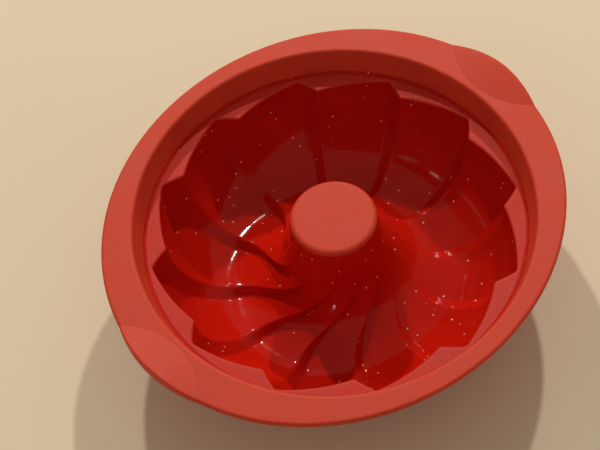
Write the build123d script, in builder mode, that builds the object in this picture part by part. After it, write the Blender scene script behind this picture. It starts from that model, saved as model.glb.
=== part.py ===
"""Swirl-fluted silicone bundt pan with an oval rim and two grip tabs.

The pan stands on its fluted bottom with the opening up (+Z). X runs through the
two grips. The origin is on the table, under the middle of the centre tube.
All lengths are in millimetres and all angles in degrees.
"""

import os
from collections import namedtuple
from math import cos, radians, sin, sqrt

from build123d import *

# ---------------------------------------------------------------- driving dimensions
SKIN = 2.5  # thickness of the ledge, ring wall and tube; the bowl is thinner where it slopes

RIM_HALF_LENGTH = 130.3  # oval rim outline, half of its long axis (along X)
RIM_HALF_WIDTH = 119.4  # half of its short axis (along Y)
RIM_WEB = 2.0  # thickness of the flat rim
RIM_HEM = 2.0  # extra thickness under the rim's outer edge
HEM_WIDTH = 7.0  # how far the hem reaches in from the edge
EDGE_ROUNDING = 1.5  # rounding of the rim's outer edge, above and below

OPENING_RADIUS = 109.0  # ring wall, inside, at the rim's top face
LEDGE_RADIUS = 104.9  # ring wall, inside, where it meets the ledge
LEDGE_DEPTH = 15.0  # ledge below the rim's top face
MOUTH_ROUNDING = 2.0  # rounding where the rim turns down into the ring wall

GRIP_REACH = 132.6  # outermost point of a grip from the middle
GRIP_CREASE = 112.5  # where a grip's crease comes closest to the opening
GRIP_HALF_SPAN = 31.5  # half of a grip's length along the rim
GRIP_RISE = 4.5  # rise from a grip's crease to its outer edge, before that is rounded

RING_WIRE_RADIUS = 1.0  # steel reinforcing ring inside the rim's edge
RING_EDGE_DISTANCE = 4.0  # ring's centre line, in from the rim outline

FLUTES = 12
FLUTE_PHASE = -2.0  # outer corner of the first flute, from +X
MOUTH_RISER = 6.0  # part of a flute's pitch taken by its steep side, at the ledge
TUBE_RISER = 4.0  # the same at the foot of the tube
MOUTH_FLUTE = 9.0  # height of a flute's ridge above its corner line, at the ledge
FLOOR_FLUTE = 5.0  # the same on the floor
CONE_FLUTE = 12.0  # pull on the ridge's height on the way up to the tube, where it ends
CONE_TWIST = 45.0  # how far the flutes swirl between the floor and the tube
TWIST_LEAD = 0.55  # share of that twist pulled in early; more makes the swirl start sooner

MOUTH_RADIUS = 101.5  # the flutes' outer corners at the ledge
FLOOR_RADIUS = 60.0  # the deepest circle of the trough
FLOOR_DEPTH = 67.5  # its depth below the rim's top face
WALL_FULLNESS = 0.45  # 0.55 would make the wall a quarter ellipse; less is straighter
CONE_FULLNESS = 0.55  # the same for the cone that climbs to the tube

TUBE_FOOT_RADIUS = 27.5
TUBE_FOOT_DEPTH = 36.0  # foot of the plain tube below the rim's top face
TUBE_TOP_DEPTH = 4.0  # flat top of the tube below the rim's top face
TUBE_TOP_RADIUS = 23.5
TUBE_ROUNDING = 3.0

# ---------------------------------------------------------------- heights
RIM_TOP = FLOOR_DEPTH + SKIN  # the trough's underside stands on the table
LEDGE_TOP = RIM_TOP - LEDGE_DEPTH
MOUTH_DEPTH = LEDGE_DEPTH + SKIN
TUBE_FOOT = RIM_TOP - TUBE_FOOT_DEPTH
TUBE_TOP = RIM_TOP - TUBE_TOP_DEPTH
TUBE_DRAFT = (TUBE_FOOT_RADIUS - TUBE_TOP_RADIUS) / (TUBE_FOOT_DEPTH - TUBE_TOP_DEPTH)

# ---------------------------------------------------------------- fluted skin
# The trough is two cubic Bezier quarters, the wall and the cone, which meet level on
# the floor. A row holds one control point of the flutes' corner line (radius, depth),
# the direction into the bowl there (across, up), the swirl and the ridge's height.
FLUTE_PITCH = 360.0 / FLUTES
Row = namedtuple("Row", "radius depth across up swirl flute")


def wall_rows():
    """Control rows from the ledge down the wall to the floor."""
    drop = WALL_FULLNESS * (FLOOR_DEPTH - MOUTH_DEPTH)
    reach = WALL_FULLNESS * (MOUTH_RADIUS - FLOOR_RADIUS)
    return [
        Row(MOUTH_RADIUS, MOUTH_DEPTH, -1, 0, 0, MOUTH_FLUTE),
        Row(MOUTH_RADIUS, MOUTH_DEPTH + drop, -1, 0, 0, MOUTH_FLUTE),
        Row(FLOOR_RADIUS + reach, FLOOR_DEPTH, 0, 1, 0, FLOOR_FLUTE),
        Row(FLOOR_RADIUS, FLOOR_DEPTH, 0, 1, 0, FLOOR_FLUTE),
    ]


def cone_rows():
    """Control rows from the floor up to the foot of the tube, in line with its draft."""
    drop = CONE_FULLNESS * (FLOOR_DEPTH - TUBE_FOOT_DEPTH)
    reach = CONE_FULLNESS * (FLOOR_RADIUS - TUBE_FOOT_RADIUS)
    lean = TUBE_DRAFT * drop
    return [
        Row(FLOOR_RADIUS, FLOOR_DEPTH, 0, 1, 0, FLOOR_FLUTE),
        Row(FLOOR_RADIUS - reach, FLOOR_DEPTH, 0, 1, 0, FLOOR_FLUTE),
        Row(TUBE_FOOT_RADIUS + lean, TUBE_FOOT_DEPTH + drop, 1, 0, TWIST_LEAD * CONE_TWIST, CONE_FLUTE),
        Row(TUBE_FOOT_RADIUS, TUBE_FOOT_DEPTH, 1, 0, CONE_TWIST, 0),
    ]


WALL = wall_rows()
CONE = cone_rows()


def riser_angle(row):
    """Angle taken by a flute's steep side, which narrows evenly towards the tube."""
    share = (row.radius - TUBE_FOOT_RADIUS) / (MOUTH_RADIUS - TUBE_FOOT_RADIUS)
    return TUBE_RISER + (MOUTH_RISER - TUBE_RISER) * share


def skin_point(row, lift, angle, spread=1.0):
    """Control point of a row at an angle, lifted from the corner line into the bowl."""
    reach = (row.radius + lift * row.across) * spread
    turn = radians(FLUTE_PHASE + row.swirl + angle)
    return (reach * cos(turn), reach * sin(turn), RIM_TOP - row.depth + lift * row.up)


def strip_points(row, flute, steep, skin):
    """Three control points across a flute's steep side or its long facet."""
    corner = flute * FLUTE_PITCH
    ridge = corner - riser_angle(row)
    start, end = (corner, ridge) if steep else (ridge, corner - FLUTE_PITCH)
    start_lift, end_lift = (0, row.flute) if steep else (row.flute, 0)
    spread = 1 / cos(radians((end - start) / 2))
    return [
        skin_point(row, start_lift - skin, start),
        skin_point(row, row.flute / 2 - skin, (start + end) / 2, spread),
        skin_point(row, end_lift - skin, end),
    ]


STRIPS = [(flute, steep) for flute in range(FLUTES) for steep in (True, False)]


def skin_faces(skin):
    """The fluted faces of one side of the skin, at a distance behind the bowl's surface."""
    faces = []
    for flute, steep in STRIPS:
        for rows in (WALL, CONE):
            net = [strip_points(row, flute, steep, skin) for row in rows]
            faces.append(Face.make_bezier_surface(net))
    return faces


def row_outline(row, skin):
    """The closed outline of the skin along one control row."""
    edges = [Edge.make_bezier(*strip_points(row, flute, steep, skin)) for flute, steep in STRIPS]
    return Wire(edges)


def bowl_shell():
    """Inner and outer fluted faces, closed at the ledge and at the foot of the tube."""
    top_ring = Face(row_outline(WALL[0], SKIN), [row_outline(WALL[0], 0.0)])
    foot_ring = Face(row_outline(CONE[-1], 0.0), [row_outline(CONE[-1], SKIN)])
    return Shell(skin_faces(0.0) + skin_faces(SKIN) + [top_ring, foot_ring])


with BuildPart() as fluted_bowl:
    add(Solid(bowl_shell()).fix())

# ---------------------------------------------------------------- ledge and ring wall
with BuildPart() as ledge:
    with BuildSketch(Plane.XY.offset(LEDGE_TOP - SKIN)):
        Circle(LEDGE_RADIUS)
        with BuildLine():
            for flute, steep in STRIPS:
                Bezier(*[(x, y) for x, y, _ in strip_points(WALL[0], flute, steep, 0.0)])
        make_face(mode=Mode.SUBTRACT)
    extrude(amount=SKIN)

WALL_OUTER_RADIUS = OPENING_RADIUS + SKIN

with BuildPart() as ring_wall:
    with BuildSketch(Plane.XZ) as wall_section:
        with BuildLine():
            Polyline(
                (OPENING_RADIUS, RIM_TOP),
                (WALL_OUTER_RADIUS, RIM_TOP),
                (WALL_OUTER_RADIUS, RIM_TOP - RIM_WEB),
                (LEDGE_RADIUS + SKIN, LEDGE_TOP - SKIN),
                (LEDGE_RADIUS, LEDGE_TOP - SKIN),
                (LEDGE_RADIUS, LEDGE_TOP),
                close=True,
            )
        make_face()
        mouth_corner = wall_section.vertices().group_by(Axis.Y)[-1].sort_by(Axis.X)[0]
        fillet(mouth_corner, radius=MOUTH_ROUNDING)
    revolve(axis=Axis.Z)

# ---------------------------------------------------------------- grip geometry
# A grip is a lens between two arcs: its crease on the rim and its outer edge.
GRIP_CORNER_X = RIM_HALF_LENGTH * sqrt(1 - (GRIP_HALF_SPAN / RIM_HALF_WIDTH) ** 2)
CREASE_SAGITTA = GRIP_CORNER_X - GRIP_CREASE
CREASE_RADIUS = (GRIP_HALF_SPAN**2 + CREASE_SAGITTA**2) / (2 * CREASE_SAGITTA)
CREASE_CENTRE = GRIP_CREASE + CREASE_RADIUS
GRIP_SLOPE = GRIP_RISE / (GRIP_REACH - GRIP_CREASE)
GRIP_MARGIN = 6.0  # a grip's sloping cone is drawn this much wider than the grip

RIM_UNDERSIDE = RIM_TOP - RIM_WEB

# The steel ring follows the oval rim with four arcs that meet at 45 degrees. Their
# centres all lie this far from the middle, two on X and two on Y.
RING_CENTRE_OFFSET = (RIM_HALF_LENGTH - RIM_HALF_WIDTH) / (2 - sqrt(2))
RING_END_RADIUS = RIM_HALF_LENGTH - RING_EDGE_DISTANCE - RING_CENTRE_OFFSET
RING_SIDE_RADIUS = RIM_HALF_WIDTH - RING_EDGE_DISTANCE + RING_CENTRE_OFFSET


def grip_lens(side):
    """Outline of the grip on the +X (side 1) or -X (side -1) end of the rim."""
    low = (side * GRIP_CORNER_X, -GRIP_HALF_SPAN)
    high = (side * GRIP_CORNER_X, GRIP_HALF_SPAN)
    with BuildSketch(mode=Mode.PRIVATE) as lens:
        with BuildLine():
            ThreePointArc(low, (side * GRIP_CREASE, 0), high)
            ThreePointArc(high, (side * GRIP_REACH, 0), low)
        make_face()
    return lens.sketch


def ring_arc(direction, centre_offset, radius):
    """A quarter of the wire ring, bent round a centre on the given direction."""
    along, across = cos(radians(direction)), sin(radians(direction))
    centre = (centre_offset * along, centre_offset * across, RIM_UNDERSIDE)
    start = Plane(origin=centre, x_dir=(along, across, 0)).rotated((0, 0, -45))
    with BuildPart(mode=Mode.PRIVATE) as arc:
        with BuildSketch(Plane(origin=centre, x_dir=start.x_dir, z_dir=start.y_dir)):
            with Locations((radius, 0)):
                Circle(RING_WIRE_RADIUS)
        revolve(axis=Axis(centre, (0, 0, 1)), revolution_arc=90)
    return arc.part


def ring_solid():
    """The wire ring, centred on the rim's underside plane."""
    with BuildPart(mode=Mode.PRIVATE) as ring:
        for direction in (0, 180):
            add(ring_arc(direction, RING_CENTRE_OFFSET, RING_END_RADIUS))
        for direction in (90, 270):
            add(ring_arc(direction, -RING_CENTRE_OFFSET, RING_SIDE_RADIUS))
    return ring.part


# ---------------------------------------------------------------- steel ring
with BuildPart() as reinforcing_ring:
    add(ring_solid())

# ---------------------------------------------------------------- rim
with BuildPart() as rim_flange:
    with BuildSketch(Plane.XY.offset(RIM_UNDERSIDE)):
        Ellipse(RIM_HALF_LENGTH, RIM_HALF_WIDTH)
    extrude(amount=RIM_WEB)
    fillet(rim_flange.edges().group_by(Axis.Z)[-1], EDGE_ROUNDING)
    with BuildSketch(Plane.XY.offset(RIM_UNDERSIDE)):
        Circle(WALL_OUTER_RADIUS)
        with Locations((CREASE_CENTRE, 0), (-CREASE_CENTRE, 0)):
            Circle(CREASE_RADIUS)
    extrude(amount=RIM_WEB, mode=Mode.SUBTRACT)
    add(ring_solid(), mode=Mode.SUBTRACT)

with BuildPart() as rim_hem:
    with BuildSketch(Plane.XY.offset(RIM_UNDERSIDE - RIM_HEM)):
        Ellipse(RIM_HALF_LENGTH, RIM_HALF_WIDTH)
        for hem_side in (1, -1):
            add(grip_lens(hem_side))
        Ellipse(RIM_HALF_LENGTH - HEM_WIDTH, RIM_HALF_WIDTH - HEM_WIDTH, mode=Mode.SUBTRACT)
    extrude(amount=RIM_HEM)
    hem_bottom = rim_hem.faces().sort_by(Axis.Z)[0]
    fillet(hem_bottom.outer_wire().edges(), EDGE_ROUNDING)
    add(ring_solid(), mode=Mode.SUBTRACT)


# ---------------------------------------------------------------- grips
def grip(side):
    """A grip pad: a lens that rises from its crease towards the rim's outer edge."""
    low_radius = CREASE_RADIUS + GRIP_MARGIN
    high_radius = CREASE_RADIUS - (GRIP_REACH - GRIP_CREASE) - GRIP_MARGIN
    with BuildPart() as pad:
        with BuildSketch(Plane.XY.offset(RIM_UNDERSIDE)):
            add(grip_lens(side))
        extrude(amount=RIM_WEB + GRIP_RISE + GRIP_MARGIN)
        with BuildSketch(Plane(origin=(side * CREASE_CENTRE, 0, 0), x_dir=(1, 0, 0), z_dir=(0, -1, 0))):
            with BuildLine():
                Polyline(
                    (0, RIM_UNDERSIDE - GRIP_MARGIN),
                    (low_radius, RIM_UNDERSIDE - GRIP_MARGIN),
                    (low_radius, RIM_TOP - GRIP_MARGIN * GRIP_SLOPE),
                    (high_radius, RIM_TOP + (CREASE_RADIUS - high_radius) * GRIP_SLOPE),
                    (0, RIM_TOP + (CREASE_RADIUS - high_radius) * GRIP_SLOPE),
                    close=True,
                )
            make_face()
        revolve(axis=Axis((side * CREASE_CENTRE, 0, 0), (0, 0, 1)), mode=Mode.INTERSECT)
        outer_edge = pad.faces().sort_by(Axis.Z)[-1].edges().sort_by(Axis.X)[-1 if side > 0 else 0]
        fillet(outer_edge, EDGE_ROUNDING)
        add(ring_solid(), mode=Mode.SUBTRACT)
    return pad.part


# ---------------------------------------------------------------- centre tube
def tube_section(inset):
    """Half section of the solid inside the tube's outer surface, set in by a distance."""
    top = TUBE_TOP - inset
    with BuildSketch(Plane.XZ) as section:
        with BuildLine():
            Polyline(
                (0, TUBE_FOOT),
                (TUBE_FOOT_RADIUS - inset, TUBE_FOOT),
                (TUBE_TOP_RADIUS - inset, top),
                (0, top),
                close=True,
            )
        make_face()
        top_corner = section.vertices().group_by(Axis.Y)[-1].sort_by(Axis.X)[-1]
        fillet(top_corner, radius=TUBE_ROUNDING - inset)
    return section.sketch


with BuildPart() as centre_tube:
    revolve(tube_section(0.0), axis=Axis.Z)
    revolve(tube_section(SKIN), axis=Axis.Z, mode=Mode.SUBTRACT)

# ---------------------------------------------------------------- export
os.makedirs("parts", exist_ok=True)

pieces = {
    "fluted_bowl": fluted_bowl.part,
    "ledge": ledge.part,
    "ring_wall": ring_wall.part,
    "centre_tube": centre_tube.part,
    "rim_flange": rim_flange.part,
    "rim_hem": rim_hem.part,
    "reinforcing_ring": reinforcing_ring.part,
    "grip_right": grip(1),
    "grip_left": grip(-1),
}

for name, piece in pieces.items():
    piece.label = name
    export_step(piece, f"parts/{name}.step")

print(f"rim top {RIM_TOP:.4f} mm above the table")
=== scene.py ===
"""Looks of a swirl-fluted silicone bundt pan.

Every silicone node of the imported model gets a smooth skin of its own, made here from the
same few dimensions, with the rounded edges of a moulding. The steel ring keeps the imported
model's mesh. Lengths are in metres.
"""

from math import acos, cos, degrees, radians, sin, sqrt

import bmesh
import bpy
import numpy as np
from mathutils import Matrix, Vector


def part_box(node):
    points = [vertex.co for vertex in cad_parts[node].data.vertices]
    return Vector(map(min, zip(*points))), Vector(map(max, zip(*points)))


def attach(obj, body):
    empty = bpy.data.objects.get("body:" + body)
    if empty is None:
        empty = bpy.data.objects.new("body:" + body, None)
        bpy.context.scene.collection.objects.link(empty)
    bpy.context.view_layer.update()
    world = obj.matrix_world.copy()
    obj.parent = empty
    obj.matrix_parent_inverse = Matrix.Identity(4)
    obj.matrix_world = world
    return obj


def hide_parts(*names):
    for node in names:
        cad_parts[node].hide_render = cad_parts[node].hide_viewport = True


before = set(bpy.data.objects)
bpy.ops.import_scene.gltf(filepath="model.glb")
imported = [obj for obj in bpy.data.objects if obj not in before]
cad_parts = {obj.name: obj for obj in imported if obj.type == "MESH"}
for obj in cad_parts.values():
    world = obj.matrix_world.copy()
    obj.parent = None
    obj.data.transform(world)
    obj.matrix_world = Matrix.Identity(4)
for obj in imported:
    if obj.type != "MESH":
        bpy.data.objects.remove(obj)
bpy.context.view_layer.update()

MM = 0.001

# ---------------------------------------------------------------- dimensions
RIM_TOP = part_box("ring_wall")[1].z
LEDGE_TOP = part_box("ledge")[1].z
LEDGE_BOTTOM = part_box("ledge")[0].z
SKIN = LEDGE_TOP - LEDGE_BOTTOM
WALL_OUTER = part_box("ring_wall")[1].x
WALL_INNER = WALL_OUTER - SKIN
LEDGE_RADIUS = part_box("ledge")[1].x
RIM_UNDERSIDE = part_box("rim_hem")[1].z
HEM_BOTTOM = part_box("rim_hem")[0].z

MOUTH_ROUNDING = 2.0 * MM  # rim into ring wall
WALL_FOOT_ROUNDING = 1.3 * MM  # ring wall into ledge
LEDGE_EDGE_ROUNDING = 1.4 * MM  # ledge into the fluted wall
RIM_EDGE_ROUNDING = 1.5 * MM  # outer edge of the rim, above and below
UNDER_ROUNDING = 1.5 * MM  # outside corner under the ledge
FLUTE_ROUNDING = 1.4 * MM  # half width of the rounded band along each ridge and valley

RIM_HALF_LENGTH = 130.3 * MM
RIM_HALF_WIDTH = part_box("rim_hem")[1].y
HEM_WIDTH = 7.0 * MM
WALL_OVERLAP = 0.1 * MM  # how far the ring wall's foot runs into the ledge's edge
GRIP_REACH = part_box("grip_right")[1].x
GRIP_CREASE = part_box("grip_right")[0].x
GRIP_HALF_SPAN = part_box("grip_right")[1].y
GRIP_RISE = 4.5 * MM

TUBE_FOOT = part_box("centre_tube")[0].z
TUBE_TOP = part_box("centre_tube")[1].z
TUBE_FOOT_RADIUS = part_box("centre_tube")[1].x
TUBE_TOP_RADIUS = 23.5 * MM
TUBE_ROUNDING = 3.0 * MM
TUBE_DRAFT = (TUBE_FOOT_RADIUS - TUBE_TOP_RADIUS) / (TUBE_TOP - TUBE_FOOT)

FLUTES = 12
FLUTE_PITCH = 360.0 / FLUTES
FLUTE_PHASE = -2.0  # outer corner of the first flute, from +X
MOUTH_RISER = 6.0  # angle of a flute's steep side at the ledge
TUBE_RISER = 4.0  # the same at the foot of the tube
MOUTH_FLUTE = 9.0 * MM  # height of a flute's ridge at the ledge
FLOOR_FLUTE = 5.0 * MM
CONE_FLUTE = 12.0 * MM  # pull on the ridge's height on the way up to the tube
CONE_TWIST = 45.0
TWIST_LEAD = 0.55

MOUTH_RADIUS = 101.5 * MM
FLOOR_RADIUS = 60.0 * MM
FLOOR = SKIN  # height of the trough's inner face at its deepest circle
WALL_FULLNESS = 0.45
CONE_FULLNESS = 0.55

SAME_POINT = 0.0005 * MM  # points closer than this are merged
SHARP_ANGLE = radians(38)  # edges bent more than this are shaded as creases
INNER_RINGS = (45, 110)  # rings on the wall and on the cone of the bowl's inner face
OUTER_RINGS = (30, 60)  # the same on its outer face
WALL_COLUMNS = 320
TUBE_COLUMNS = 144
CORNER_STEPS = 7  # points along the arc of a rounded corner
TUBE_SIDE_STEPS = 8  # strips from the tube's foot to its rounded shoulder


# ---------------------------------------------------------------- materials
def new_material(name):
    """An empty node material: its node tree and its Principled shader."""
    material = bpy.data.materials.new(name)
    material.use_nodes = True
    tree = material.node_tree
    shader = next(node for node in tree.nodes if node.type == "BSDF_PRINCIPLED")
    return material, tree, shader


def add_node(tree, kind, **settings):
    """A node with its attributes and numbered or named inputs set."""
    node = tree.nodes.new(kind)
    inputs = settings.pop("inputs", {})
    for key, value in settings.items():
        setattr(node, key, value)
    for key, value in inputs.items():
        node.inputs[key].default_value = value
    return node


def noise(tree, position, scale, detail=3.0):
    """Noise over the object's own coordinates."""
    node = add_node(tree, "ShaderNodeTexNoise",
                    inputs={"Scale": scale, "Detail": detail, "Roughness": 0.55})
    tree.links.new(position, node.inputs["Vector"])
    return node.outputs["Fac"]


def remap(tree, value, low, high, new_low, new_high):
    """A value moved from one range to another and clamped."""
    node = add_node(tree, "ShaderNodeMapRange",
                    inputs={"From Min": low, "From Max": high, "To Min": new_low, "To Max": new_high})
    tree.links.new(value, node.inputs["Value"])
    return node.outputs["Result"]


def mix_colour(tree, factor, first, second):
    """Two colours, each a tuple or a socket, mixed by a factor."""
    node = add_node(tree, "ShaderNodeMix", data_type="RGBA")
    tree.links.new(factor, node.inputs[0])
    for socket, colour in ((node.inputs[6], first), (node.inputs[7], second)):
        if isinstance(colour, tuple):
            socket.default_value = (*colour, 1.0)
        else:
            tree.links.new(colour, socket)
    return node.outputs[2]


def bump(tree, height, strength, distance, normal=None):
    """A bump of a height map, on top of an earlier bump if one is given."""
    node = add_node(tree, "ShaderNodeBump", inputs={"Strength": strength, "Distance": distance})
    tree.links.new(height, node.inputs["Height"])
    if normal is not None:
        tree.links.new(normal, node.inputs["Normal"])
    return node.outputs["Normal"]


def matte_silicone(name, dark, light, frosted):
    """Silicone from a blasted part of the mould: soft, even and finely grained."""
    material, tree, shader = new_material(name)
    position = add_node(tree, "ShaderNodeTexCoord").outputs["Object"]
    grain = noise(tree, position, 1500.0, 2.0)
    patches = noise(tree, position, 45.0, 4.0)
    mottled = mix_colour(tree, remap(tree, patches, 0.35, 0.65, 0.0, 1.0), dark, light)
    grained = mix_colour(tree, remap(tree, grain, 0.40, 0.62, 0.0, 0.60), mottled, frosted)
    tree.links.new(grained, shader.inputs["Base Color"])
    tree.links.new(remap(tree, patches, 0.3, 0.7, 0.56, 0.66), shader.inputs["Roughness"])
    shader.inputs["Specular IOR Level"].default_value = 0.35
    tree.links.new(bump(tree, grain, 0.55, 0.16 * MM), shader.inputs["Normal"])
    return material


def smooth_silicone(name, smoothest, roughest, shine):
    """Silicone from a polished part of the mould, with pale specks painted over it."""
    material, tree, shader = new_material(name)
    position = add_node(tree, "ShaderNodeTexCoord").outputs["Object"]
    patches = noise(tree, position, 30.0, 3.0)
    ripple = noise(tree, position, 160.0, 2.0)
    grain = noise(tree, position, 2600.0, 2.0)
    red = mix_colour(tree, remap(tree, patches, 0.35, 0.65, 0.0, 1.0),
                     (0.47, 0.007, 0.002), (0.53, 0.010, 0.003))

    # Pale specks painted into the base colour, scattered over the whole surface.
    cells = add_node(tree, "ShaderNodeTexVoronoi", inputs={"Scale": 140.0, "Randomness": 1.0})
    tree.links.new(position, cells.inputs["Vector"])
    speck = remap(tree, cells.outputs["Distance"], 0.048, 0.074, 1.0, 0.0)
    specked = mix_colour(tree, speck, red, (0.95, 0.80, 0.72))
    tree.links.new(specked, shader.inputs["Base Color"])

    tree.links.new(remap(tree, ripple, 0.35, 0.65, smoothest, roughest), shader.inputs["Roughness"])
    shader.inputs["Specular IOR Level"].default_value = shine
    rippled = bump(tree, ripple, 0.08, 0.6 * MM)
    tree.links.new(bump(tree, grain, 0.06, 0.05 * MM, rippled), shader.inputs["Normal"])
    return material


def steel_wire():
    """Drawn steel wire."""
    material, tree, shader = new_material("steel_wire")
    position = add_node(tree, "ShaderNodeTexCoord").outputs["Object"]
    streaks = noise(tree, position, 900.0, 4.0)
    shade = mix_colour(tree, streaks, (0.42, 0.42, 0.41), (0.62, 0.61, 0.60))
    tree.links.new(shade, shader.inputs["Base Color"])
    tree.links.new(remap(tree, streaks, 0.3, 0.7, 0.28, 0.42), shader.inputs["Roughness"])
    shader.inputs["Metallic"].default_value = 1.0
    return material


MATTE = matte_silicone("silicone_matte", (0.50, 0.030, 0.009), (0.57, 0.038, 0.012), (0.72, 0.060, 0.022))
# A darker, deeper red copy of the matte silicone, used on the ledge: painted shade from the ring wall
# above it.
PAINTED_SHADE_MATTE = matte_silicone("silicone_matte_painted_shade", (0.46, 0.012, 0.004), (0.52, 0.017, 0.006),
                            (0.60, 0.030, 0.010))
GLOSS = smooth_silicone("silicone_gloss", 0.05, 0.09, 0.20)
SATIN = smooth_silicone("silicone_satin", 0.52, 0.62, 0.08)
STEEL = steel_wire()


# ---------------------------------------------------------------- mesh building
def grid_mesh(name, rings, closed_round=True, second_rows=None):
    """A mesh through an array of points (ring, place along the ring, xyz).

    The last ring joins the first. Doubled points are merged, so that a ring may shrink to a
    point.
    second_rows(i) says whether the faces after ring i have the piece's second material.
    """
    count, across = rings.shape[:2]
    mesh = bpy.data.meshes.new(name)
    faces = []
    slots = []
    for i in range(count):
        following = (i + 1) % count
        for j in range(across if closed_round else across - 1):
            beside = (j + 1) % across
            faces.append((i * across + j, following * across + j,
                          following * across + beside, i * across + beside))
            slots.append(bool(second_rows and second_rows(i)))
    mesh.from_pydata(rings.reshape(-1, 3).tolist(), [], faces)
    mesh.polygons.foreach_set("material_index", np.array(slots, dtype=np.int32))

    edit = bmesh.new()
    edit.from_mesh(mesh)
    bmesh.ops.remove_doubles(edit, verts=edit.verts, dist=SAME_POINT)
    bmesh.ops.recalc_face_normals(edit, faces=edit.faces)
    edit.to_mesh(mesh)
    edit.free()
    mesh.shade_smooth()
    mesh.set_sharp_from_angle(angle=SHARP_ANGLE)
    return mesh


def add_piece(mesh, node, materials):
    """A piece that stands for one CAD node."""
    piece = bpy.data.objects.new(mesh.name, mesh)
    bpy.context.scene.collection.objects.link(piece)
    for material in materials:
        mesh.materials.append(material)
    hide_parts(node)
    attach(piece, "root")


def rounded_outline(corners, steps=CORNER_STEPS):
    """A closed outline of (r, z, rounding) corners, with each corner turned into an arc."""
    outline = []
    for index, (r, z, rounding) in enumerate(corners):
        here = np.array([r, z])
        if rounding == 0.0:
            outline.append(here)
            continue
        before = np.array(corners[index - 1][:2]) - here
        after = np.array(corners[(index + 1) % len(corners)][:2]) - here
        before /= np.linalg.norm(before)
        after /= np.linalg.norm(after)
        half = acos(float(np.clip(before @ after, -1, 1))) / 2
        middle = (before + after) / np.linalg.norm(before + after)
        centre = here + middle * rounding / sin(half)
        start = here + before * rounding * cos(half) / sin(half) - centre
        end = here + after * rounding * cos(half) / sin(half) - centre
        sweep = acos(float(np.clip(start @ end / rounding**2, -1, 1)))
        for turn in np.linspace(0, sweep, steps):
            outline.append(centre + (sin(sweep - turn) * start + sin(turn) * end) / sin(sweep))
    return np.array(outline)


def lathe(outline, columns):
    """Rings of points: an outline of (r, z) turned about Z."""
    turn = np.linspace(0, 2 * np.pi, columns, endpoint=False)
    rings = np.empty((len(outline), columns, 3))
    rings[:, :, 0] = outline[:, :1] * np.cos(turn)
    rings[:, :, 1] = outline[:, :1] * np.sin(turn)
    rings[:, :, 2] = outline[:, 1:]
    return rings


# ---------------------------------------------------------------- fluted bowl
# The trough is two cubic Bezier quarters, the wall and the cone, as in the CAD part. A
# row holds a control point of the flutes' corner line (radius, height), the direction
# into the bowl there (across, up), the swirl and the height of the flute's ridge.
def wall_rows():
    """Control rows from the ledge down the wall to the floor."""
    drop = WALL_FULLNESS * (LEDGE_BOTTOM - FLOOR)
    reach = WALL_FULLNESS * (MOUTH_RADIUS - FLOOR_RADIUS)
    return [
        (MOUTH_RADIUS, LEDGE_BOTTOM, -1, 0, 0, MOUTH_FLUTE),
        (MOUTH_RADIUS, LEDGE_BOTTOM - drop, -1, 0, 0, MOUTH_FLUTE),
        (FLOOR_RADIUS + reach, FLOOR, 0, 1, 0, FLOOR_FLUTE),
        (FLOOR_RADIUS, FLOOR, 0, 1, 0, FLOOR_FLUTE),
    ]


def cone_rows():
    """Control rows from the floor up to the foot of the tube."""
    drop = CONE_FULLNESS * (TUBE_FOOT - FLOOR)
    reach = CONE_FULLNESS * (FLOOR_RADIUS - TUBE_FOOT_RADIUS)
    lean = TUBE_DRAFT * drop
    return [
        (FLOOR_RADIUS, FLOOR, 0, 1, 0, FLOOR_FLUTE),
        (FLOOR_RADIUS - reach, FLOOR, 0, 1, 0, FLOOR_FLUTE),
        (TUBE_FOOT_RADIUS + lean, TUBE_FOOT - drop, 1, 0, TWIST_LEAD * CONE_TWIST, CONE_FLUTE),
        (TUBE_FOOT_RADIUS, TUBE_FOOT, 1, 0, CONE_TWIST, 0),
    ]


BOWL_ROWS = wall_rows() + cone_rows()
ROW_RADII = np.array([row[0] for row in BOWL_ROWS])
CUBIC = np.array([1, 3, 3, 1])


def row_weights(t):
    """Weight of each control row at each t: 0 at the ledge, 1 on the floor, 2 at the tube."""
    t = np.asarray(t)[:, None]
    powers = np.arange(4)
    local = np.where(t > 1, t - 1, t)
    cubic = CUBIC * local**powers * (1 - local) ** powers[::-1]
    return np.hstack([np.where(t > 1, 0, cubic), np.where(t > 1, cubic, 0)])


def riser_angle(radius):
    """Angle taken by a flute's steep side, which narrows evenly towards the tube."""
    share = (radius - TUBE_FOOT_RADIUS) / (MOUTH_RADIUS - TUBE_FOOT_RADIUS)
    return TUBE_RISER + (MOUTH_RISER - TUBE_RISER) * share


def flute_share(angle, softness, riser):
    """How far up the flute's ridge the skin is at an angle: 0 at a corner, 1 at a ridge.

    The sawtooth is averaged over a band of the given half width, in degrees.
    """
    total = 0.0
    weights = 0.0
    for place in np.linspace(-1, 1, 17)[1:-1]:
        weight = 1 + np.cos(np.pi * place)
        past_corner = (-(angle + place * softness)) % FLUTE_PITCH
        rising = past_corner / riser
        falling = (FLUTE_PITCH - past_corner) / (FLUTE_PITCH - riser)
        total = total + weight * np.minimum(rising, falling)
        weights += weight
    return total / weights


def bowl_rings(t, angles, behind):
    """Points of the fluted skin for each t and angle, moved back from its inner face.

    They move along the rows' own directions, so where the skin slopes away from those, it
    is thinner than that distance.
    """
    weights = row_weights(t)
    radius = (weights @ ROW_RADII)[:, None]
    share = flute_share(angles[None, :], np.degrees(FLUTE_ROUNDING / radius), riser_angle(radius))
    rings = np.zeros((len(t), len(angles), 3))
    for row, (row_radius, height, across, up, swirl, flute) in enumerate(BOWL_ROWS):
        lift = share * flute - behind
        reach = row_radius + lift * across
        turn = np.radians(FLUTE_PHASE + swirl + angles)[None, :]
        weight = weights[:, row, None]
        rings[:, :, 0] += weight * reach * np.cos(turn)
        rings[:, :, 1] += weight * reach * np.sin(turn)
        rings[:, :, 2] += weight * (height + lift * up)
    return rings


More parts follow.
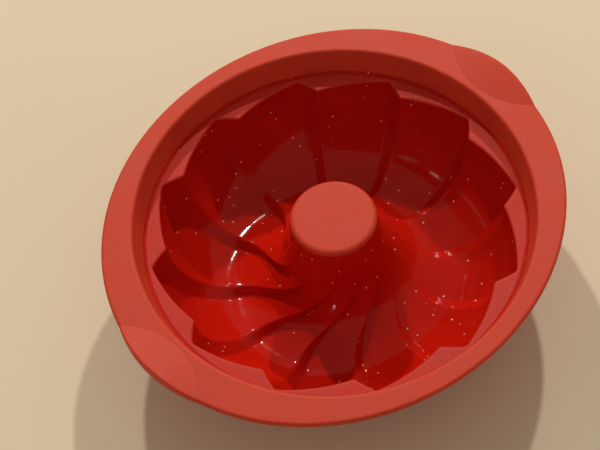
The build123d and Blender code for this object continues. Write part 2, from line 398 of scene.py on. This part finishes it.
def flute_angles():
    """Angles round the bowl, closer together along each riser and its two edges."""
    first, last = -3, 9  # degrees from a flute's corner between which the angles are close
    dense = np.linspace(first, last, 28, endpoint=False)
    sparse = np.linspace(last, first + FLUTE_PITCH, 12, endpoint=False)
    one_flute = np.concatenate([dense, sparse])
    return -np.concatenate([one_flute + index * FLUTE_PITCH for index in range(FLUTES)])


ANGLES = flute_angles()


def ring_places(on_wall, on_cone):
    """Where the rings lie along the skin: a number on the wall, then a number on the cone."""
    return np.concatenate([np.linspace(0, 1, on_wall, endpoint=False), np.linspace(1, 2, on_cone)])


def fluted_bowl():
    """The swirled flutes, inside and out, with more rings where they twist."""
    inner = bowl_rings(ring_places(*INNER_RINGS), ANGLES, 0.0)
    outer = bowl_rings(ring_places(*OUTER_RINGS)[::-1], ANGLES, SKIN)
    mesh = grid_mesh("fluted_bowl_skin", np.concatenate([inner, outer]))
    add_piece(mesh, "fluted_bowl", [GLOSS])


# ---------------------------------------------------------------- ledge and ring wall
LEDGE_SPLIT = LEDGE_RADIUS - WALL_FOOT_ROUNDING  # where the ring wall's foot meets the ledge


def ledge():
    """The flat ledge round the pinwheel mouth of the flutes, with a soft edge, its matte face painted
    darker as shade from the ring wall.
    """
    mouth = bowl_rings([0.0], ANGLES, 0.0)[0]
    tangent = np.roll(mouth, -1, axis=0) - np.roll(mouth, 1, axis=0)
    outward = np.stack([-tangent[:, 1], tangent[:, 0], np.zeros(len(mouth))], axis=1)
    outward /= np.linalg.norm(outward, axis=1, keepdims=True)
    outward *= np.sign(np.sum(outward * mouth, axis=1, keepdims=True))
    turn = np.radians(FLUTE_PHASE + ANGLES)
    foot = np.stack([LEDGE_SPLIT * np.cos(turn), LEDGE_SPLIT * np.sin(turn), np.zeros(len(turn))], axis=1)

    rings = [mouth * (1, 1, 0) + (0, 0, LEDGE_BOTTOM)]
    for bend in np.radians(np.linspace(90, 0, 8)):
        ring = mouth + outward * LEDGE_EDGE_ROUNDING * (1 - np.sin(bend))
        ring[:, 2] = LEDGE_TOP - LEDGE_EDGE_ROUNDING * (1 - np.cos(bend))
        rings.append(ring)
    shore = rings[-1]
    for share in (0.33, 0.67, 1.0):
        rings.append(shore + (foot + (0, 0, LEDGE_TOP) - shore) * share)
    rings.append(foot + (0, 0, LEDGE_BOTTOM))
    glossy = 3  # the upright edge and the first two strips of its rounding
    mesh = grid_mesh("ledge_skin", np.array(rings), second_rows=lambda i: i < glossy)
    # The ledge's matte face takes the darker copy of the matte silicone: painted shade from the ring
    # wall.
    add_piece(mesh, "ledge", [PAINTED_SHADE_MATTE, GLOSS])


def ring_wall():
    """The plain wall between rim and ledge."""
    outline = rounded_outline([
        (WALL_OUTER, RIM_UNDERSIDE, 0.0),
        (WALL_OUTER, RIM_TOP, 0.0),
        (WALL_INNER, RIM_TOP, MOUTH_ROUNDING),
        (LEDGE_RADIUS, LEDGE_TOP, WALL_FOOT_ROUNDING),
        (LEDGE_SPLIT - WALL_OVERLAP, LEDGE_TOP, 0.0),
        (LEDGE_SPLIT - WALL_OVERLAP, LEDGE_BOTTOM, 0.0),
        (LEDGE_RADIUS + SKIN, LEDGE_BOTTOM, UNDER_ROUNDING),
    ])
    matte = range(1, CORNER_STEPS + 2)  # the rim's last strip, the mouth's rounding and the wall's face
    mesh = grid_mesh("ring_wall_skin", lathe(outline, WALL_COLUMNS), second_rows=lambda i: i in matte)
    add_piece(mesh, "ring_wall", [SATIN, MATTE])


# ---------------------------------------------------------------- rim
CORNER_X = RIM_HALF_LENGTH * sqrt(1 - (GRIP_HALF_SPAN / RIM_HALF_WIDTH) ** 2)
CORNER_ANGLE = degrees(np.arctan2(GRIP_HALF_SPAN, CORNER_X))


def arc_through(tip):
    """Centre (on X) and radius of the circle through a grip's two corners and a point on X."""
    sagitta = tip - CORNER_X
    centre = (tip**2 - CORNER_X**2 - GRIP_HALF_SPAN**2) / (2 * sagitta)
    return centre, abs(tip - centre)


CREASE_CENTRE, CREASE_RADIUS = arc_through(GRIP_CREASE)
EDGE_CENTRE, EDGE_RADIUS = arc_through(GRIP_REACH)


def circle_reach(angle, centre, radius, side):
    """Distance from the middle to a circle centred on X; side 1 is its far half."""
    return centre * np.cos(angle) + side * np.sqrt(radius**2 - (centre * np.sin(angle)) ** 2)


def ellipse_reach(angle, inset=0.0):
    """Distance from the middle to the oval outline, or to the same oval set in."""
    length, width = RIM_HALF_LENGTH - inset, RIM_HALF_WIDTH - inset
    return 1 / np.sqrt((np.cos(angle) / length) ** 2 + (np.sin(angle) / width) ** 2)


def grip_angle(angle):
    """Angle from the nearer end of the long axis."""
    return (angle + np.pi / 2) % np.pi - np.pi / 2


def rim_reach(angle):
    """Outline of the rim with its two grips."""
    near = grip_angle(angle)
    bulge = circle_reach(near, EDGE_CENTRE, EDGE_RADIUS, 1)
    return np.where(np.abs(near) < radians(CORNER_ANGLE), bulge, ellipse_reach(angle))


def crease_reach(angle):
    """Outer border of the flat rim: the crease along a grip, the outline elsewhere."""
    near = grip_angle(angle)
    in_grip = np.abs(near) < radians(CORNER_ANGLE)
    crease = circle_reach(np.where(in_grip, near, 0.0), CREASE_CENTRE, CREASE_RADIUS, -1)
    return np.where(in_grip, crease, ellipse_reach(angle))


def edge_drop(distance):
    """How far the rounded outer edge has dropped at a distance in from the outline."""
    within = np.clip(RIM_EDGE_ROUNDING - distance, 0.0, None)
    return RIM_EDGE_ROUNDING - np.sqrt(RIM_EDGE_ROUNDING**2 - within**2)


def grip_angles():
    """Angles across a grip, closer together towards its two sharp corners."""
    return radians(CORNER_ANGLE) * np.sin(np.linspace(-np.pi / 2, np.pi / 2, 73))


def rim_angles():
    """Angles round the rim that include the grips' four corners."""
    grip = grip_angles()[:-1]
    corner = radians(CORNER_ANGLE)
    plain = np.linspace(corner, np.pi - corner, 170, endpoint=False)
    return np.concatenate([grip, plain, grip + np.pi, plain + np.pi])


def polar_ring(angle, reach, height):
    """Points at a distance and height for each angle."""
    height = np.broadcast_to(height, angle.shape)
    return np.stack([reach * np.cos(angle), reach * np.sin(angle), height], axis=1)


RIM_ANGLES = rim_angles()
TOWARDS_EDGE = np.linspace(1, 0, 17) ** 3  # share of the rim's width, closer at the edge


def rim_flange():
    """The flat rim, from the ring wall to its rounded edge or the grips' creases."""
    outline = rim_reach(RIM_ANGLES)
    border = crease_reach(RIM_ANGLES)
    rings = [polar_ring(RIM_ANGLES, np.full_like(border, WALL_OUTER), RIM_UNDERSIDE)]
    for share in TOWARDS_EDGE:
        reach = border - (border - WALL_OUTER) * share
        rings.append(polar_ring(RIM_ANGLES, reach, RIM_TOP - edge_drop(outline - reach)))
    rings.append(polar_ring(RIM_ANGLES, border, RIM_UNDERSIDE))
    mesh = grid_mesh("rim_flange_skin", np.array(rings))
    add_piece(mesh, "rim_flange", [MATTE])


def rim_hem():
    """The thicker band under the rim's edge."""
    outline = rim_reach(RIM_ANGLES)
    inner = ellipse_reach(RIM_ANGLES, HEM_WIDTH)
    rings = [polar_ring(RIM_ANGLES, inner, RIM_UNDERSIDE), polar_ring(RIM_ANGLES, outline, RIM_UNDERSIDE)]
    for share in TOWARDS_EDGE[::-1]:
        reach = outline - (outline - inner) * share
        rings.append(polar_ring(RIM_ANGLES, reach, HEM_BOTTOM + edge_drop(outline - reach)))
    mesh = grid_mesh("rim_hem_skin", np.array(rings))
    add_piece(mesh, "rim_hem", [MATTE])


def grip(node, side):
    """A grip pad: a lens that rises from its crease to a rounded outer edge.

    Its side is 1 towards +X or -1 for the same pad turned half round.
    """
    near = grip_angles()
    crease = circle_reach(near, CREASE_CENTRE, CREASE_RADIUS, -1)
    outline = circle_reach(near, EDGE_CENTRE, EDGE_RADIUS, 1)
    outline[[0, -1]] = crease[[0, -1]]
    slope = GRIP_RISE / (GRIP_REACH - GRIP_CREASE)
    rings = [polar_ring(near, crease, RIM_UNDERSIDE)]
    for share in TOWARDS_EDGE:
        reach = outline - (outline - crease) * share
        flat = polar_ring(near, reach, RIM_TOP - edge_drop(outline - reach))
        past_crease = CREASE_RADIUS - np.hypot(flat[:, 0] - CREASE_CENTRE, flat[:, 1])
        flat[:, 2] += slope * past_crease
        rings.append(flat)
    rings.append(polar_ring(near, outline, RIM_UNDERSIDE))
    points = np.array(rings)
    points[:, :, :2] *= side
    mesh = grid_mesh(node + "_skin", points, closed_round=False)
    add_piece(mesh, node, [MATTE])


# ---------------------------------------------------------------- centre tube
def tube_outline(inset):
    """Outer face of the tube, from its foot to the middle of its top, set in."""
    top = TUBE_TOP - inset
    corners = [
        (0.0, top, 0.0),
        (0.0, TUBE_FOOT, 0.0),
        (TUBE_FOOT_RADIUS - inset, TUBE_FOOT, 0.0),
        (TUBE_TOP_RADIUS - inset, top, TUBE_ROUNDING - inset),
    ]
    outline = rounded_outline(corners, steps=12)[2:]
    foot, shoulder = outline[0], outline[1]
    side = [foot + (shoulder - foot) * share for share in np.linspace(0, 1, TUBE_SIDE_STEPS + 1)[1:-1]]
    disc = [outline[-1] * (share, 1) for share in (0.75, 0.5, 0.25, 0.0)]
    return np.vstack([foot, *side, *outline[1:], *disc])


def centre_tube():
    """The closed tube: glossy side, matte top."""
    outside = tube_outline(0.0)
    inside = tube_outline(SKIN)[::-1]
    matte_to = len(outside) - 1
    mesh = grid_mesh("centre_tube_skin", lathe(np.vstack([outside, inside]), TUBE_COLUMNS),
                     second_rows=lambda i: not TUBE_SIDE_STEPS <= i < matte_to)
    add_piece(mesh, "centre_tube", [MATTE, GLOSS])


fluted_bowl()
ledge()
ring_wall()
rim_flange()
rim_hem()
grip("grip_right", 1)
grip("grip_left", -1)
centre_tube()

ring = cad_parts["reinforcing_ring"]
ring.data.materials.clear()
ring.data.materials.append(STEEL)


# ---------------------------------------------------------------- floor, light and camera
def toward(azimuth, elevation):
    """Unit vector at an azimuth from +X and an elevation above the floor, in degrees."""
    a, e = radians(azimuth), radians(elevation)
    return Vector((cos(e) * cos(a), cos(e) * sin(a), sin(e)))


def pale_floor():
    """A plain pale floor under the pan."""
    material, tree, shader = new_material("pale_floor")
    position = add_node(tree, "ShaderNodeTexCoord").outputs["Object"]
    shade = mix_colour(tree, noise(tree, position, 6.0), (0.74, 0.66, 0.50), (0.78, 0.70, 0.54))
    tree.links.new(shade, shader.inputs["Base Color"])
    shader.inputs["Roughness"].default_value = 0.9
    half = 2.5  # half of its side
    mesh = bpy.data.meshes.new("floor")
    corners = [(-half, -half, 0), (half, -half, 0), (half, half, 0), (-half, half, 0)]
    mesh.from_pydata(corners, [], [(0, 1, 2, 3)])
    mesh.materials.append(material)
    floor = bpy.data.objects.new("floor", mesh)
    bpy.context.scene.collection.objects.link(floor)


def soft_light(name, azimuth, elevation, distance, size, power, colour):
    """A square studio lamp that faces the pan."""
    data = bpy.data.lights.new(name, "AREA")
    data.size = size
    data.energy = power
    data.color = colour
    lamp = bpy.data.objects.new(name, data)
    direction = toward(azimuth, elevation)
    lamp.location = Vector((0, 0, RIM_TOP)) + direction * distance
    lamp.rotation_euler = direction.to_track_quat("Z", "Y").to_euler()
    bpy.context.scene.collection.objects.link(lamp)


pale_floor()
for lamp_name, lamp_azimuth in (("key_right", 31), ("key_left", 62)):
    soft_light(lamp_name, lamp_azimuth, elevation=43, distance=3.0, size=0.09, power=33,
               colour=(1.0, 0.93, 0.82))

world = bpy.data.worlds.new("studio")
world.use_nodes = True
world.node_tree.nodes["Background"].inputs["Color"].default_value = (1.0, 0.84, 0.68, 1.0)
world.node_tree.nodes["Background"].inputs["Strength"].default_value = 0.38
bpy.context.scene.world = world
bpy.context.scene.view_settings.view_transform = "Standard"

CAMERA_DISTANCE = 0.9108
CAMERA_AZIMUTH = -125.7
CAMERA_ELEVATION = 57.86
CAMERA_ROLL = -9.31
CAMERA_TARGET = Vector((-17.6 * MM, 7.1 * MM, RIM_TOP))

camera_data = bpy.data.cameras.new("camera")
camera_data.lens = 102
camera_data.sensor_width = 36
camera = bpy.data.objects.new("camera", camera_data)
view = toward(CAMERA_AZIMUTH, CAMERA_ELEVATION)
camera.matrix_world = (
    Matrix.Translation(CAMERA_TARGET + view * CAMERA_DISTANCE)
    @ view.to_track_quat("Z", "Y").to_matrix().to_4x4()
    @ Matrix.Rotation(radians(CAMERA_ROLL), 4, "Z")
)
bpy.context.scene.collection.objects.link(camera)
bpy.context.scene.camera = camera
